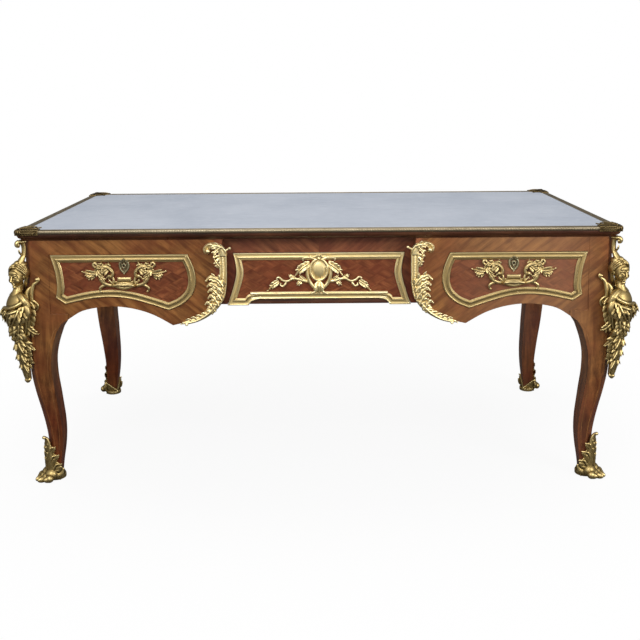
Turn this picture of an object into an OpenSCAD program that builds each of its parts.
// A flat-topped writing table in the curved French manner of the middle of the eighteenth century.
// The origin is on the floor under the middle of the top, +X to the right, +Y to the back, +Z up.

/* [Top] */
// Width of the top over its bronze edge
top_w = 1900; // [1700:10:2100]
// Depth of the top over its bronze edge
top_d = 950; // [850:10:1050]
// Height of the writing surface's bronze edge above the floor
height = 835; // [760:5:840]
// Thickness of the top at its edge
top_t = 33; // [28:1:40]
// Height of the bronze on the edge of the top
edge_face = 11; // [8:1:15]
// Width of the bronze on the surface of the top
edge_lip = 25; // [20:1:32]
// Thickness of the bronze edge's metal
edge_t = 2.5; // [2:0.5:4]
// How far the wooden moulding under the bronze draws in
moulding_in = 12; // [8:1:16]
// Thickness of the leather
leather_t = 2; // [1.5:0.5:2.5]
// Depth of the bed that the leather lies in
leather_bed = 0.5; // [0.5:0.5:2]
// Length of a corner clasp along each edge
clasp_len = 70; // [60:1:85]
// How far a corner clasp stands out past the bronze edge
clasp_proud = 3; // [2:0.5:5]

/* [Frieze] */
// How far the top stands out past the frieze
overhang = 17; // [10:1:24]
// Height of the frieze at the middle
frieze_h = 219; // [200:1:235]
// Height of the rail over the side drawers
rail_h = 47; // [36:1:55]
// Height of the rail over the middle drawer
centre_rail_h = 51; // [38:1:60]
// Width of the middle part, which is set back
centre_w = 612; // [580:2:680]
// How far the middle part is set back
recess = 37; // [28:1:48]
// Thickness of the rails and aprons
board_t = 25; // [22:1:30]
// Thickness of the boards between the drawers
partition_t = 24; // [18:1:28]
// How far the pointed end of each side part hangs below the middle
tip_drop = 58; // [40:1:70]
// How far the aprons at the ends drop at their middle
end_drop = 26; // [10:1:50]

/* [Legs] */
// Width of a leg's post beside the drawers
post = 78; // [70:1:84]
// Width of the flat cut along each leg's corner
corner_cut = 26; // [20:1:34]

/* [Drawers] */
// Gap round each drawer front
front_gap = 0.8; // [0.5:0.1:1.5]
// Thickness of the drawer fronts
front_t = 20; // [18:1:21]
// Depth of the drawer boxes behind their fronts
box_d = 600; // [500:10:700]
// Thickness of the drawer sides
side_t = 10; // [8:1:14]
// Thickness of the drawer bottoms
bottom_t = 6; // [5:1:8]
// Running clearance of the drawers
play = 0.3; // [0.2:0.1:0.6]
// Thickness of the runners
runner_t = 15; // [12:1:16]
// Height of the guides beside the drawers
guide_h = 20; // [12:1:30]

/* [Locks] */
// Width of a lock
lock_w = 60; // [50:1:70]
// Height of a lock
lock_h = 42; // [36:1:50]
// Thickness of a lock
lock_t = 12; // [10.5:0.5:14]
// Width of a lock's bolt
bolt_w = 20; // [14:1:26]
// Thickness of a lock's bolt
bolt_t = 6; // [4:0.5:7]
// Travel of a lock's bolt
bolt_travel = 8; // [6:0.5:10]
// Radius of a keyhole
keyhole_r = 2.6; // [2:0.2:3.4]

/* [Bronze mounts] */
// Width of the frames round the drawers
frame_w = 23; // [18:1:26]
// Thickness of the frames
frame_t = 5; // [3:0.5:7]
// Width of the scroll beside the middle part
scroll_w = 25; // [18:1:30]
// Thickness of the scrolls and of the flat leaves
relief_t = 8; // [5:0.5:10]
// Thickness of the shoes' metal
shoe_t = 4; // [3:0.5:5]
// Thickness of the shoes' soles
sole_t = 12; // [8:1:16]
// Distance from the face of a drawer to the back of its grip
grip_gap = 18; // [15:0.5:22]
// Radius of the grip
grip_r = 4.5; // [3.5:0.5:5.5]
// Half the length of the grip
grip_half = 34; // [30:1:38]
// Radius of a bust's head
head_r = 29; // [26:0.5:31]

/* [Hidden] */
$fn = 48;

// Levels and planes of the carcass
under_z = height - top_t;
bed_z = height - edge_t - leather_bed;
base_z = under_z - frieze_h;
rail_z = under_z - rail_h;
centre_rail_z = under_z - centre_rail_h;
carcass_w = top_w - 2 * overhang;
carcass_d = top_d - 2 * overhang;
half_w = carcass_w / 2;
half_d = carcass_d / 2;
face_y = -half_d;
centre_y = face_y + recess;
bay_in = centre_w / 2;
bay_out = half_w - post;
return_w = 30;
wall_in = bay_in + return_w;
wall_out = wall_in + partition_t;
shoulder_z = base_z - 18;
ear_u = post + 57;
ear_z = base_z - 36;
over = 1;

// Levels of the drawer boxes
side_box_z = base_z + 43;
centre_box_z = base_z + 22;
side_box_top = rail_z - 8;
centre_box_top = centre_rail_z - 8;
side_box_in = bay_in + 112;
side_box_out = bay_out - 27;
centre_box_x = bay_in - 44;
side_mid = (bay_in + 109 + bay_out - 4) / 2 - 17;

// Colours of the wood, the leather and the gilt bronze
wood = [0.44, 0.24, 0.15];
dark_wood = [0.24, 0.13, 0.09];
pale_wood = [0.66, 0.5, 0.33];
leather = [0.71, 0.74, 0.78];
bronze = [0.76, 0.64, 0.38];
steel = [0.55, 0.55, 0.55];

// A point on the smooth curve from b to c, with a before and d after
function between(a, b, c, d, t) = 0.5 * (2 * b + (c - a) * t
    + (2 * a - 5 * b + 4 * c - d) * t * t + (3 * b - a - 3 * c + d) * t * t * t);
// A smooth curve through the points p, with n steps from one to the next
function curve(p, n = 4) = [
    for (i = [0:len(p) - 2]) for (k = [0:n - 1])
        between(p[max(i - 1, 0)], p[i], p[i + 1], p[min(i + 2, len(p) - 1)], k / n),
    p[len(p) - 1]
];
function reverse(p) = [for (i = [len(p) - 1:-1:0]) p[i]];
function flip(p) = [for (i = [len(p) - 1:-1:0]) [-p[i][0], p[i][1]]];
function head(p) = [for (i = [0:len(p) - 2]) p[i]];
function unit(v) = v / norm(v);
function left_of(v) = [-v[1], v[0]];
// Where the corner between the steps a and b goes when both edges move left by d
function corner_move(a, b, d) = let (m = left_of(unit(a)) + left_of(unit(b))) m * 2 * d / (m * m);
// A closed outline, drawn anticlockwise, with its edges moved in by d
function shrink(p, d) = let (n = len(p)) [
    for (i = [0:n - 1]) p[i] + corner_move(p[i] - p[(i + n - 1) % n], p[(i + 1) % n] - p[i], d)
];
// The outline of a band along the line p, which lies to its right and narrows to its start
function band(p, w, narrow = 0.35) = let (n = len(p)) concat(p, reverse([
    for (i = [0:n - 1]) let (
        before = p[max(i, 1)] - p[max(i, 1) - 1],
        after = p[min(i + 1, n - 1)] - p[min(i + 1, n - 1) - 1],
        swell = narrow + (1 - narrow) * min(1, 2 * i / n)
    ) p[i] + corner_move(before, after, -w * swell)
]));
function ellipse(rx, ry, n = 40) = [for (i = [0:n - 1]) [rx * cos(i * 360 / n), ry * sin(i * 360 / n)]];
function moved(p, x, z) = [for (q = p) [q[0] + x, q[1] + z]];

// An outline drawn in x and z, from y0 to y1
module along_y(y0, y1) {
    translate([0, y1, 0]) rotate([90, 0, 0]) linear_extrude(y1 - y0) children();
}
// An outline drawn in y and z, from x0 to x1
module along_x(x0, x1) {
    translate([x0, 0, 0]) rotate([90, 0, 90]) linear_extrude(x1 - x0) children();
}
module block(from, to) {
    translate(from) cube(to - from);
}
// The right side as drawn, or the left side as its mirror image
module on_side(sx) {
    mirror([sx < 0 ? 1 : 0, 0, 0]) children();
}
// A corner of the table, with x and y measured inwards from the two outer faces
module at_corner(sx, sy, w, d) {
    mirror([sx > 0 ? 1 : 0, 0, 0]) mirror([0, sy > 0 ? 1 : 0, 0])
        translate([-w / 2, -d / 2, 0]) children();
}

// A closed outline made of smooth stretches, each from the last point of the one before, moved in by d
function stretches(groups, d, n = 4) = let (
    counts = [for (g = groups) len(g) - 1],
    starts = [for (i = 0, at = 0; i < len(counts); at = at + counts[i], i = i + 1) at],
    points = shrink([for (g = groups) for (i = [0:len(g) - 2]) g[i]], d)
) [for (k = [0:len(groups) - 1]) each head(curve(
    [for (i = [0:counts[k]]) points[(starts[k] + i) % len(points)]], counts[k] == 1 ? 1 : n))];
// Outline of a side drawer's opening on the right, from its lowest point anticlockwise
function side_opening(d = 0) = let (
    tip = [bay_in + 171, base_z - 9],
    clip = [bay_out - 50, base_z + 13],
    low = [bay_out - 19, base_z + 34],
    outer_top = [bay_out - 4, rail_z],
    inner_top = [bay_in + 109, rail_z],
    reach = clip[0] - tip[0],
    drop = rail_z - base_z
) stretches([
    [tip, tip + [reach * 0.2, 22], tip + [reach * 0.38, 38], tip + [reach * 0.56, 44],
        tip + [reach * 0.76, 39], clip],
    [clip, low],
    [low, [bay_out - 24, base_z + drop * 0.4], [bay_out - 19, base_z + drop * 0.68], outer_top],
    [outer_top, inner_top],
    [inner_top, [bay_in + 90, base_z + drop * 0.74], [bay_in + 84, base_z + drop * 0.48],
        [bay_in + 96, base_z + drop * 0.24], [bay_in + 128, base_z + drop * 0.06], tip]
], d);
// Outline of the middle drawer's opening, from the left end of its raised foot anticlockwise
function centre_opening(d = 0) = let (
    drop = centre_rail_z - base_z,
    foot = [[bay_in - 118, base_z + 16], [bay_in - 92, base_z + 10], [bay_in - 79, base_z - 4]],
    side = [[bay_in - 10, base_z - 4], [bay_in - 39, base_z + drop * 0.58], [bay_in - 30, centre_rail_z]]
) stretches([
    [flip(foot)[2], foot[0]], foot, [foot[2], side[0]], side, [side[2], flip(side)[0]],
    flip(side), [flip(side)[2], flip(foot)[0]], flip(foot)
], d);
// Lower edge of a side part on the right, from the leg to the pointed end
function side_arch() = let (
    joint = [half_w - ear_u, ear_z],
    tip = [bay_in + 160, base_z - tip_drop],
    reach = joint[0] - tip[0]
) curve([joint, tip + [reach * 0.87, tip_drop - 10], tip + [reach * 0.7, tip_drop + 2],
    tip + [reach * 0.53, tip_drop + 4], tip + [reach * 0.34, tip_drop - 6],
    tip + [reach * 0.17, tip_drop - 26], tip]);
// Round edge of a side part on the right, from the pointed end up to its straight edge
function round_edge() = let (drop = tip_drop) curve([
    [bay_in + 160, base_z - drop], [bay_in + 114, base_z - drop * 0.8],
    [bay_in + 79, base_z - drop * 0.5], [bay_in + 49, base_z - drop * 0.1],
    [bay_in + 23, base_z + 27], [bay_in + 6, base_z + 67], [bay_in, base_z + 107]
]);
// A side part of the frieze on the right, up to the level z
module side_part(z) {
    polygon(concat(
        [[bay_out, z], [bay_out, shoulder_z], [half_w - ear_u, shoulder_z]],
        side_arch(), round_edge(), [[bay_in, z]]));
}

// Outline of a leg seen from the front: u inwards from the outer face, then z
function leg_z(s) = s < 1 ? s * base_z : base_z + (s - 1) * frieze_h;
function leg_outer() = curve([for (q = [[0, 2], [0, 1.6], [-2, 1.24], [-3, 0.985], [-2, 0.82],
    [0, 0.7], [5, 0.6], [14, 0.5], [24, 0.41], [32, 0.33], [38, 0.25], [40, 0.17], [40, 0.1], [38, 0]])
    [q[0], leg_z(q[1])]], 3);
function leg_inner() = curve([for (q = [[-1, 0], [4, 0.09], [10, 0.17], [13, 0.25], [12, 0.33],
    [8, 0.41], [3, 0.5], [-3, 0.6], [-4, 0.7], [3, 0.78], [16, 0.86]]) [post + q[0], leg_z(q[1])]], 3);
function leg_ear() = curve([[post + 16, leg_z(0.86)], [post + 34, leg_z(0.91)], [ear_u, ear_z]], 3);
// The leg as cut from two sides, with a flat along its corner; grow moves the outer faces out
module leg_core(grow = 0) {
    outer = [for (q = leg_outer()) q - [grow, 0]];
    inner = [for (q = leg_inner()) q + [grow, 0]];
    outline = concat(outer, inner, leg_ear(), [[ear_u, shoulder_z], [post, shoulder_z], [post, under_z]]);
    reach = ear_u + 2 * grow;
    cut = corner_cut / 2;
    difference() {
        intersection() {
            along_y(-20, reach) polygon(outline);
            along_x(-20, reach) polygon(outline);
            rotate([0, 0, 45]) along_y(-reach * 2, reach * 2) polygon(concat(
                [for (q = outer) [q[0] * sqrt(2) + cut, q[1]]], [[reach * 2, 0], [reach * 2, under_z]]));
        }
        for (s = [0, 1]) mirror([s, -s, 0])
            block([post + 34, board_t, leg_z(0.75)], [reach + over, reach + over, shoulder_z]);
    }
}
module leg(sx, sy) {
    color(wood) at_corner(sx, sy, carcass_w, carcass_d) difference() {
        leg_core();
        block([-50, -50, -over], [300, 300, sole_t]);
    }
}

// A band on the front or side face of a leg, from its surface out to the thickness t
module face_band(t) {
    outer = leg_outer();
    along_x(-60, 200) polygon(concat([for (q = outer) q - [t, 0]], reverse([for (q = outer) q + [2, 0]])));
}
// Flat leaves beside a bust, on a leg's front face
function wing() = concat(
    curve([[-6, leg_z(1.1)], [10, leg_z(1.18)], [20, leg_z(1.36)], [29, leg_z(1.48)],
        [42, leg_z(1.46)], [35, leg_z(1.36)], [31, leg_z(1.2)], [37, leg_z(1.04)],
        [26, leg_z(0.95)], [39, leg_z(0.865)]], 3),
    curve([[22, leg_z(0.83)], [25, leg_z(0.755)], [20, leg_z(0.69)], [22, leg_z(0.65)],
        [12, leg_z(0.605)]], 3),
    [[-6, leg_z(0.62)]]);
// A cone from the point p to the point q, given as x and z, with the radii a and b
module tapered(p, q, a, b) {
    step = q - p;
    translate([p[0], 0, p[1]]) rotate([0, atan2(step[0], step[1]), 0]) cylinder(norm(step), a, b);
}
// A gilt bust that ends in a tapering fall of leaves, on the corner of a leg
module caryatid(sx, sy) {
    axis = 30;
    head_z = leg_z(1.5);
    chest_z = leg_z(0.99);
    waist_z = leg_z(0.845);
    tip_z = leg_z(0.605);
    waist_s = 20;
    tip_s = -3;
    color(bronze) at_corner(sx, sy, carcass_w, carcass_d) difference() {
        union() {
            rotate([0, 0, 225]) {
                translate([axis - 3, 0, head_z]) sphere(head_r);
                translate([axis - 10, 0, head_z + 4]) sphere(head_r);
                translate([axis - 16, 0, head_z + head_r - 4]) sphere(15);
                translate([axis, 0, 0]) rotate_extrude() polygon(concat([[0, head_z - 8]], reverse(curve([
                    [34, chest_z - 50], [40, chest_z - 34], [46, chest_z - 10], [46, chest_z + 10],
                    [41, chest_z + 30], [29, chest_z + 46], [16, chest_z + 60], [14, head_z - 8]],
                    3)), [[0, chest_z - 50]]));
                for (t = [-20, 20]) translate([axis + 22, t, chest_z + 2]) sphere(21);
                tapered([waist_s, waist_z], [axis - 1, chest_z - 36], 22, 31);
                tapered([tip_s, tip_z], [waist_s + 1, waist_z + 15], 11, 19);
                translate([6, 0, head_z + head_r]) cylinder(under_z - head_z - head_r, 8, 8);
                translate([9, 0, under_z - 22]) cylinder(22, 9, 15);
            }
            for (s = [0, 1]) mirror([s, -s, 0]) {
                intersection() {
                    face_band(relief_t - 2);
                    along_y(-60, 60) polygon(wing());
                }
                translate([27, -relief_t, leg_z(1.04)]) rotate([-90, 0, 0]) cylinder(relief_t, 11, 11);
            }
        }
        leg_core();
        block([0, 0, leg_z(0.4)], [300, 300, under_z + over]);
    }
}

// Edge of a shoe on one face of the leg: high at the corner, low at the back
function shoe_outline() = concat(
    curve([[20, leg_z(0.265)], [44, leg_z(0.265)], [54, leg_z(0.215)], [66, leg_z(0.17)],
        [110, leg_z(0.14)]], 4),
    [[110, 0], [20, 0]]);
// A gilt shoe with a lion's paw, closed under the leg
module sabot(sx, sy) {
    toe_s = -40;
    color(bronze) at_corner(sx, sy, carcass_w, carcass_d) intersection() {
        difference() {
            union() {
                intersection() {
                    leg_core(shoe_t);
                    along_y(0, 200) polygon(shoe_outline());
                    along_x(0, 200) polygon(shoe_outline());
                }
                rotate([0, 0, 225]) {
                    for (t = [-24, -8, 8, 24]) translate([toe_s - abs(t) * 0.3, t, 12]) sphere(13);
                    for (t = [-11, 11]) translate([toe_s - 22, t, 19]) sphere(21);
                    translate([toe_s - 38, 0, 26]) sphere(26);
                    translate([toe_s - 46, 0, 0]) cylinder(sole_t, 30, 30);
                    translate([-55, 0, leg_z(0.262)]) sphere(11);
                }
            }
            difference() {
                leg_core();
                block([-50, -50, -over], [300, 300, sole_t]);
            }
        }
        block([-50, -50, 0], [300, 300, 200]);
    }
}

// The top: profile over the width w, from the underside up, without its bronze
function top_profile(w) = let (
    e = w / 2 - edge_t,
    half = concat(
        [[e - moulding_in, under_z]],
        curve([[e - moulding_in + 1, under_z + 3], [e - moulding_in * 0.55, under_z + 7],
            [e - 3, under_z + 10], [e, under_z + 16]], 3),
        [[e, height - edge_t]])
) concat(half, flip(half));
module top_board() {
    color(dark_wood) difference() {
        intersection() {
            along_y(-top_d, top_d) polygon(top_profile(top_w));
            along_x(-top_w, top_w) polygon(top_profile(top_d));
        }
        block([-top_w / 2 + edge_lip, -top_d / 2 + edge_lip, bed_z],
            [top_w / 2 - edge_lip, top_d / 2 - edge_lip, height + over]);
    }
}
// Outline of the leaf of a clasp, measured from the corner of the top
clasp_leaf = concat([[-clasp_proud, -clasp_proud], [clasp_len, -clasp_proud]],
    curve([[clasp_len, edge_lip], [clasp_len * 0.8, edge_lip + 8], [clasp_len * 0.72, edge_lip + 22],
        [clasp_len * 0.9, clasp_len * 0.9], [edge_lip + 22, clasp_len * 0.72],
        [edge_lip + 8, clasp_len * 0.8], [edge_lip, clasp_len]], 3), [[-clasp_proud, clasp_len]]);
// The leather, cut to the clasps at its corners
module leather_panel() {
    color(leather) difference() {
        block([-top_w / 2 + edge_lip, -top_d / 2 + edge_lip, bed_z],
            [top_w / 2 - edge_lip, top_d / 2 - edge_lip, bed_z + leather_t]);
        for (sx = [-1, 1], sy = [-1, 1]) at_corner(sx, sy, top_w, top_d)
            translate([0, 0, bed_z - over]) linear_extrude(leather_t + 2 * over) polygon(clasp_leaf);
    }
}
// A bronze edge of the length l, with its outer face on y = 0 and the table behind it
module edge_strip(l) {
    color(bronze) along_x(-l / 2, l / 2) polygon([
        [0, height - edge_face], [edge_t, height - edge_face], [edge_t, height - edge_t],
        [edge_lip, height - edge_t], [edge_lip, height], [1.2, height], [0, height - 1.2]]);
}
module edge_mouldings_long() {
    for (s = [0, 1]) mirror([0, s, 0]) translate([0, -top_d / 2, 0]) edge_strip(top_w - 2 * clasp_len);
}
module edge_mouldings_short() {
    for (s = [0, 1]) mirror([s, 0, 0]) translate([-top_w / 2, 0, 0]) rotate([0, 0, -90])
        edge_strip(top_d - 2 * clasp_len);
}
// A clasp: a leaf over the corner of the top, with a cheek down each edge
module corner_clasp(sx, sy) {
    color(bronze) at_corner(sx, sy, top_w, top_d) {
        translate([0, 0, height]) linear_extrude(clasp_proud) polygon(clasp_leaf);
        intersection() {
            translate([0, 0, bed_z]) linear_extrude(height - bed_z + over) polygon(clasp_leaf);
            block([edge_lip, edge_lip, bed_z], [2 * clasp_len, 2 * clasp_len, height + over]);
        }
        translate([0, 0, height - edge_t]) linear_extrude(edge_t + over) polygon([
            [-clasp_proud, -clasp_proud], [clasp_len, -clasp_proud], [clasp_len, edge_lip],
            [edge_lip, edge_lip], [edge_lip, clasp_len], [-clasp_proud, clasp_len]]);
        translate([0, 0, height - edge_face - 4]) linear_extrude(edge_face + 4) polygon([
            [-clasp_proud, -clasp_proud], [clasp_len, -clasp_proud], [clasp_len, edge_t],
            [edge_t, edge_t], [edge_t, clasp_len], [-clasp_proud, clasp_len]]);
    }
}

// An apron at an end of the table, between two legs
module side_apron(sx) {
    half = concat([[half_d - post, under_z], [half_d - post, shoulder_z], [half_d - ear_u, shoulder_z]],
        head(curve([[half_d - ear_u, ear_z], [half_d - ear_u - 50, base_z - 9],
            [(half_d - ear_u) * 0.56, base_z + 3], [(half_d - ear_u) * 0.28, base_z - end_drop * 0.35],
            [0, base_z - end_drop]])));
    color(wood) on_side(sx) along_x(half_w - board_t, half_w)
        polygon(concat(half, [[0, base_z - end_drop]], flip(half)));
}
// The back, one board in three steps, with the same outline as the front
module back_apron() {
    color(wood) {
        for (sx = [-1, 1]) on_side(sx) {
            along_y(half_d - board_t, half_d) side_part(under_z);
            along_y(half_d - recess, half_d) intersection() {
                side_part(under_z);
                translate([bay_in, 0]) square([return_w, under_z]);
            }
        }
        block([-wall_in, half_d - recess - board_t, base_z], [wall_in, half_d - recess, under_z]);
    }
}
// The rail over the drawers, with a mortise above each lock
module front_rail() {
    back = centre_y + board_t;
    color(wood) difference() {
        union() {
            for (sx = [-1, 1]) on_side(sx) block([bay_in, face_y, rail_z], [bay_out, back, under_z]);
            block([-bay_in, centre_y, centre_rail_z], [bay_in, back, under_z]);
        }
        for (sx = [-1, 1]) bolt_mortise(sx * side_mid, face_y, rail_z);
        bolt_mortise(0, centre_y, centre_rail_z);
    }
}
module bolt_mortise(x, y, z) {
    block([x - bolt_w / 2 - 2, bolt_y(y) - 2, z - over], [x + bolt_w / 2 + 2, bolt_y(y) + bolt_t + 2,
        z + bolt_travel + 2]);
}
// A rail under a side drawer, round the drawer's opening
module lower_rail(sx) {
    color(wood) on_side(sx) {
        along_y(face_y, face_y + board_t) difference() {
            side_part(rail_z);
            polygon(side_opening());
        }
        along_y(face_y, centre_y) intersection() {
            side_part(rail_z);
            translate([bay_in, 0]) square([return_w, under_z]);
        }
    }
}
module lower_rail_centre() {
    tongue_x = bay_in - 79;
    bar_y = centre_y + board_t;
    color(wood) {
        along_y(centre_y, bar_y) difference() {
            translate([-tongue_x, base_z]) square([2 * tongue_x, 16]);
            polygon(centre_opening());
        }
        block([-wall_in, bar_y, base_z], [wall_in, bar_y + 20, base_z + 18]);
        block([-tongue_x + 30, bar_y - over, base_z], [tongue_x - 30, bar_y + over, base_z + 14]);
    }
}
// A board from front to back between two drawers, with the stile beside the middle drawer
module partition(sx) {
    stile_y = centre_y + board_t;
    color(wood) on_side(sx) {
        block([wall_in, centre_y, base_z], [wall_out, half_d - board_t, rail_z]);
        block([wall_in, stile_y, base_z], [wall_out, half_d - board_t, under_z]);
        along_y(centre_y, stile_y) difference() {
            translate([bay_in - 60, base_z]) square([60 + return_w + over, centre_rail_z - base_z]);
            polygon(centre_opening());
        }
    }
}
// One runner with its guide: the drawer slides on the ledge from x0 to x1, the guide starts at x1
module runner(x0, x1, x2, z, y0, y1) {
    ledge = z - play;
    block([min(x0, x2), y0, ledge - runner_t], [max(x0, x2), y1, ledge]);
    block([min(x1, x2), y0, ledge - over], [max(x1, x2), y1, ledge + guide_h]);
}
module drawer_runners() {
    y0 = face_y + board_t;
    y1 = half_d - board_t;
    bar = centre_y + board_t + 20;
    wide = 14;
    color(pale_wood) for (sx = [-1, 1]) on_side(sx) {
        runner(side_box_out - wide, side_box_out + play, bay_out, side_box_z, y0, y1);
        runner(side_box_in + wide, side_box_in - play, wall_out, side_box_z, y0, y1);
        runner(centre_box_x - wide, centre_box_x + play, wall_in, centre_box_z, bar,
            half_d - recess - board_t);
    }
}

// Drawers: place of the lock and its bolt behind the face y
function bolt_y(y) = y + front_t - lock_t / 2 - bolt_t / 2 - 2;
module lock_body(x, y, z) {
    y1 = y + front_t - 2;
    color(steel) difference() {
        block([x - lock_w / 2, y1 - lock_t, z - lock_h], [x + lock_w / 2, y1, z]);
        block([x - bolt_w / 2 - play, bolt_y(y) - play, z - lock_h * 0.7],
            [x + bolt_w / 2 + play, bolt_y(y) + bolt_t + play, z + over]);
        keyhole(x, y1, z, lock_t + over);
    }
}
module bolt(x, y, z) {
    color(steel) block([x - bolt_w / 2, bolt_y(y), z - lock_h * 0.7 + play],
        [x + bolt_w / 2, bolt_y(y) + bolt_t, z - play]);
}
module keyhole(x, y1, z, depth) {
    translate([x, y1 + over, z - lock_h * 0.84]) rotate([90, 0, 0])
        cylinder(depth + over, keyhole_r, keyhole_r);
}
// A drawer front cut to the outline, with a pocket for its lock
module drawer_front(outline, x, y, z) {
    difference() {
        color(wood) along_y(y, y + front_t) polygon(outline);
        block([x - lock_w / 2, y + front_t - 2 - lock_t, z - lock_h],
            [x + lock_w / 2, y + front_t + over, z + 2]);
        keyhole(x, y + front_t, z, front_t + over);
    }
}
// Two sides and a back, with a groove for the bottom
module drawer_box(x0, x1, y, z0, z1) {
    y1 = y + box_d;
    color(pale_wood) difference() {
        block([x0, y, z0], [x1, y1, z1]);
        block([x0 + side_t, y - over, z0 - over], [x1 - side_t, y1 - side_t, z1 + over]);
        block([x0 + side_t / 2, y - over, z0 + 6], [x1 - side_t / 2, y1 - side_t / 2, z0 + 6 + bottom_t]);
    }
}
module drawer_bottom(x0, x1, y, z0) {
    color(pale_wood) block([x0 + side_t / 2 + play, y, z0 + 6],
        [x1 - side_t / 2 - play, y + box_d - side_t / 2 - play, z0 + 6 + bottom_t]);
}
// A flat bronze frame between two outlines
module frame_ring(outer, inner) {
    difference() {
        polygon(outer);
        polygon(inner);
    }
}

// Flat scrolls of a side drawer's pull, drawn on the right of its middle
module pull_scrolls() {
    polygon(band(curve([[134, 72], [118, 62], [98, 64], [84, 58]]), 12));
    polygon(band(reverse(curve([[20, 14], [46, 10], [66, 24], [84, 46], [78, 76], [54, 88], [36, 74],
        [40, 56]])), -11));
    polygon(band(curve([[88, 3], [82, 14], [66, 22]]), 9));
    polygon(band(curve([[106, 74], [94, 80], [72, 78]]), 8));
}
// A pull: two confronted scrolls joined by a plate and a grip
module drawer_pull(sx, y) {
    x = sx * side_mid;
    z = base_z + 58;
    grip_y = y - grip_gap - grip_r;
    color(bronze) translate([x, 0, 0]) {
        for (s = [0, 1]) mirror([s, 0, 0]) {
            difference() {
                translate([0, 0, z]) along_y(y - relief_t, y) pull_scrolls();
                translate([-side_mid, 0, 0]) along_y(y - frame_t, y + over)
                    frame_ring(side_opening(front_gap), side_opening(inner_edge));
            }
            translate([grip_half, grip_y, z + 20]) rotate([-90, 0, 0]) cylinder(grip_gap + grip_r, 5, 5);
            translate([grip_half, grip_y, z + 20]) sphere(6);
        }
        along_y(y - relief_t / 2, y) translate([-grip_half - 8, z + 12]) square([2 * grip_half + 16, 14]);
        along_y(y - relief_t / 2, y) translate([-22, z + 26]) square([44, 14]);
        translate([-grip_half, grip_y, z + 20]) rotate([0, 90, 0]) cylinder(2 * grip_half, grip_r, grip_r);
    }
}
// A shield round a keyhole, with a crown that laps over the frame above it
module escutcheon(sx, y, z) {
    x = sx * side_mid;
    hole_z = z - lock_h * 0.84;
    color(bronze) difference() {
        union() {
            along_y(y - relief_t / 2, y) polygon(concat([[x - 15, hole_z + 11]],
                curve([[x - 18, hole_z], [x - 12, hole_z - 14], [x, hole_z - 24], [x + 12, hole_z - 14],
                    [x + 18, hole_z]]), [[x + 15, hole_z + 11]]));
            translate([x, y, hole_z + 12]) rotate([90, 0, 0]) cylinder(relief_t, 7, 7);
        }
        translate([x, y + over, hole_z]) rotate([90, 0, 0]) cylinder(12, keyhole_r, keyhole_r);
        along_y(y - frame_t, y + over) frame_ring(opening(sx, front_gap), opening(sx, inner_edge));
    }
}
// An oval boss with leaves to both sides, which lap over the frame between the two outlines;
// it has a hole where it covers a lock
module cartouche(y, z, bored, outer, inner) {
    mid = base_z + 103;
    color(bronze) difference() {
        union() {
            along_y(y - relief_t, y) polygon(moved(ellipse(28, 36), 0, mid));
            along_y(y - relief_t - 5, y) polygon(moved(ellipse(20, 27), 0, mid));
            along_y(y - relief_t, y) polygon([[-16, mid - 30], [-14, mid - 60], [0, mid - 74],
                [14, mid - 60], [16, mid - 30]]);
            along_y(y - relief_t, y)
                polygon([[-13, mid + 30], [-9, mid + 48], [9, mid + 48], [13, mid + 30]]);
            for (s = [0, 1]) mirror([s, 0, 0]) along_y(y - relief_t + 2, y) {
                polygon(band(reverse(curve([[10, mid + 14], [48, mid + 22], [72, mid - 4], [100, mid - 30],
                    [128, mid - 32], [160, mid - 58]])), -15));
                polygon(band(curve([[128, mid + 2], [118, mid - 12], [108, mid - 30]]), -9));
                polygon(band(curve([[82, mid - 40], [56, mid - 30], [8, mid - 50]]), -14));
            }
        }
        if (bored) translate([0, y + over, z - lock_h * 0.84]) rotate([90, 0, 0])
            cylinder(30, keyhole_r, keyhole_r);
        along_y(y - frame_t, y + over) frame_ring(outer, inner);
    }
}
// A scroll beside the middle part: a volute, a straight stem and a round tail to the pointed end
module scroll_outline() {
    stem = concat(round_edge(), [[bay_in, under_z - 36]]);
    polygon(band(stem, scroll_w));
    polygon(band(reverse(curve([[bay_in + 16, rail_z - 30], [bay_in + 40, rail_z - 26],
        [bay_in + 50, rail_z - 8], [bay_in + 36, rail_z - 2]])), 9));
    polygon(concat([[bay_in + 20, base_z + 118]],
        curve([[bay_in + 56, base_z + 108], [bay_in + 68, base_z + 96], [bay_in + 56, base_z + 84],
            [bay_in + 66, base_z + 66], [bay_in + 54, base_z + 50], [bay_in + 60, base_z + 30],
            [bay_in + 64, base_z - 4]], 3), [[bay_in + 46, base_z + 10], [bay_in + 20, base_z + 50]]));
}
// The volute at the top of a scroll, with its bud and a small knob
module volute_outline() {
    difference() {
        circle(38);
        circle(38 - scroll_w * 0.7);
        translate([-60, -60]) square([120, 60]);
    }
    translate([28, -3]) circle(12);
    translate([-48, 28]) circle(6);
    translate([-48, 24]) square([24, 8]);
}
module scroll_mount(sx) {
    color(bronze) on_side(sx) {
        along_y(face_y - relief_t, face_y) scroll_outline();
        along_y(face_y - relief_t - 2, face_y) translate([bay_in + 39, under_z - 45]) volute_outline();
    }
}
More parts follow.
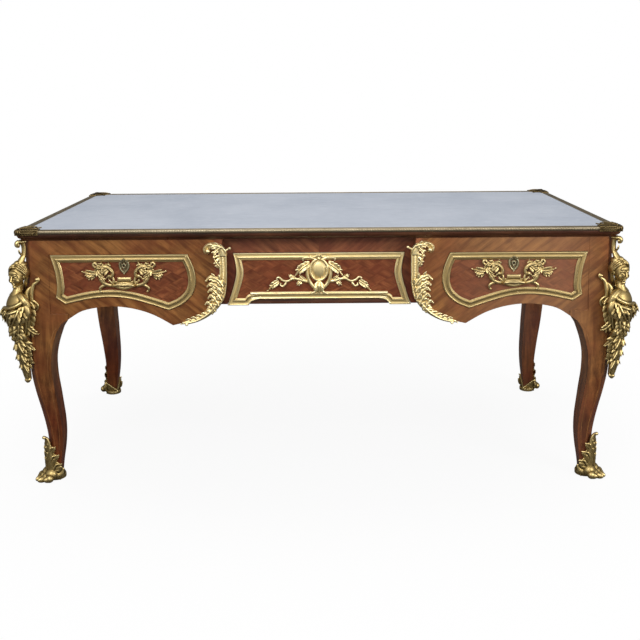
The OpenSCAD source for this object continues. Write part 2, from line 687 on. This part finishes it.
// Outline of the frame on an end apron
function end_outline(d = 0) = let (
    e = half_d - post,
    drop = rail_z - base_z,
    foot = [[e - 50, base_z + 13], [e * 0.68, base_z + 30], [e * 0.5, base_z + 32], [e * 0.25, base_z + 20]],
    side = [[e - 19, base_z + 34], [e - 24, base_z + drop * 0.4], [e - 19, base_z + drop * 0.68],
        [e - 4, rail_z]]
) stretches([
    concat(flip(reverse(foot)), [[0, base_z + 10]], reverse(foot)),
    [foot[0], side[0]], side, [side[3], flip(side)[0]], flip(side), [flip(side)[3], flip(foot)[3]]
], d);
module side_frames() {
    color(bronze) for (sx = [-1, 1]) on_side(sx) along_x(half_w, half_w + frame_t)
        frame_ring(end_outline(), end_outline(frame_w));
}
module side_mounts() {
    for (sx = [-1, 1]) on_side(sx) translate([half_w, 0, 0]) rotate([0, 0, 90])
        cartouche(0, 0, false, end_outline(), end_outline(frame_w));
}
module back_frames() {
    color(bronze) {
        for (sx = [-1, 1]) on_side(sx) along_y(half_d, half_d + frame_t)
            frame_ring(side_opening(front_gap), side_opening(front_gap + frame_w));
        along_y(half_d - recess, half_d - recess + frame_t)
            frame_ring(centre_opening(front_gap), centre_opening(front_gap + frame_w));
    }
}
module back_mounts() {
    rotate([0, 0, 180]) {
        for (sx = [-1, 1]) drawer_pull(sx, face_y);
        cartouche(centre_y, 0, false, centre_opening(front_gap), centre_opening(inner_edge));
    }
}
module scrolls_back() {
    mirror([0, 1, 0]) for (sx = [-1, 1]) scroll_mount(sx);
}

// A side drawer's values on the side sx
function box_x0(sx) = sx > 0 ? side_box_in : -side_box_out;
function box_x1(sx) = sx > 0 ? side_box_out : -side_box_in;
function opening(sx, d) = sx > 0 ? side_opening(d) : flip(side_opening(d));
inner_edge = front_gap + frame_w;
lock_z = rail_z - front_gap;
centre_lock_z = centre_rail_z - front_gap;
box_y = face_y + front_t;
centre_box_y = centre_y + front_t;

top_board();
leather_panel();
edge_mouldings_long();
edge_mouldings_short();
corner_clasp(-1, -1);  // corner_clasp_front_left
corner_clasp(1, -1);  // corner_clasp_front_right
corner_clasp(-1, 1);  // corner_clasp_back_left
corner_clasp(1, 1);  // corner_clasp_back_right
leg(-1, -1);  // leg_front_left
leg(1, -1);  // leg_front_right
leg(-1, 1);  // leg_back_left
leg(1, 1);  // leg_back_right
side_apron(-1);  // side_apron_left
side_apron(1);  // side_apron_right
back_apron();
front_rail();
lower_rail(-1);  // lower_rail_left
lower_rail_centre();
lower_rail(1);  // lower_rail_right
partition(-1);  // partition_left
partition(1);  // partition_right
drawer_runners();
caryatid(-1, -1);  // caryatid_front_left
caryatid(1, -1);  // caryatid_front_right
caryatid(-1, 1);  // caryatid_back_left
caryatid(1, 1);  // caryatid_back_right
sabot(-1, -1);  // sabot_front_left
sabot(1, -1);  // sabot_front_right
sabot(-1, 1);  // sabot_back_left
sabot(1, 1);  // sabot_back_right
scroll_mount(-1);  // scroll_front_left
scroll_mount(1);  // scroll_front_right
scrolls_back();
side_frames();
side_mounts();
back_frames();
back_mounts();
drawer_front(opening(-1, front_gap), -side_mid, face_y, lock_z);  // drawer_front_left
drawer_box(box_x0(-1), box_x1(-1), box_y, side_box_z, side_box_top);  // drawer_box_left
drawer_bottom(box_x0(-1), box_x1(-1), box_y, side_box_z);  // drawer_bottom_left
color(bronze) along_y(face_y - frame_t, face_y)  // drawer_frame_left
        frame_ring(opening(-1, front_gap), opening(-1, inner_edge));
drawer_pull(-1, face_y);  // drawer_pull_left
escutcheon(-1, face_y, lock_z);  // escutcheon_left
lock_body(-side_mid, face_y, lock_z);  // lock_left
bolt(-side_mid, face_y, lock_z);  // bolt_left
drawer_front(centre_opening(front_gap), 0, centre_y, centre_lock_z);  // drawer_front_centre
drawer_box(-centre_box_x, centre_box_x, centre_box_y, centre_box_z, centre_box_top);  // drawer_box_centre
drawer_bottom(-centre_box_x, centre_box_x, centre_box_y, centre_box_z);  // drawer_bottom_centre
color(bronze) along_y(centre_y - frame_t, centre_y)  // drawer_frame_centre
        frame_ring(centre_opening(front_gap), centre_opening(inner_edge));
cartouche(centre_y, centre_lock_z, true, centre_opening(front_gap), centre_opening(inner_edge));  // cartouche_centre
lock_body(0, centre_y, centre_lock_z);  // lock_centre
bolt(0, centre_y, centre_lock_z);  // bolt_centre
drawer_front(opening(1, front_gap), side_mid, face_y, lock_z);  // drawer_front_right
drawer_box(box_x0(1), box_x1(1), box_y, side_box_z, side_box_top);  // drawer_box_right
drawer_bottom(box_x0(1), box_x1(1), box_y, side_box_z);  // drawer_bottom_right
color(bronze) along_y(face_y - frame_t, face_y)  // drawer_frame_right
        frame_ring(opening(1, front_gap), opening(1, inner_edge));
drawer_pull(1, face_y);  // drawer_pull_right
escutcheon(1, face_y, lock_z);  // escutcheon_right
lock_body(side_mid, face_y, lock_z);  // lock_right
bolt(side_mid, face_y, lock_z);  // bolt_right
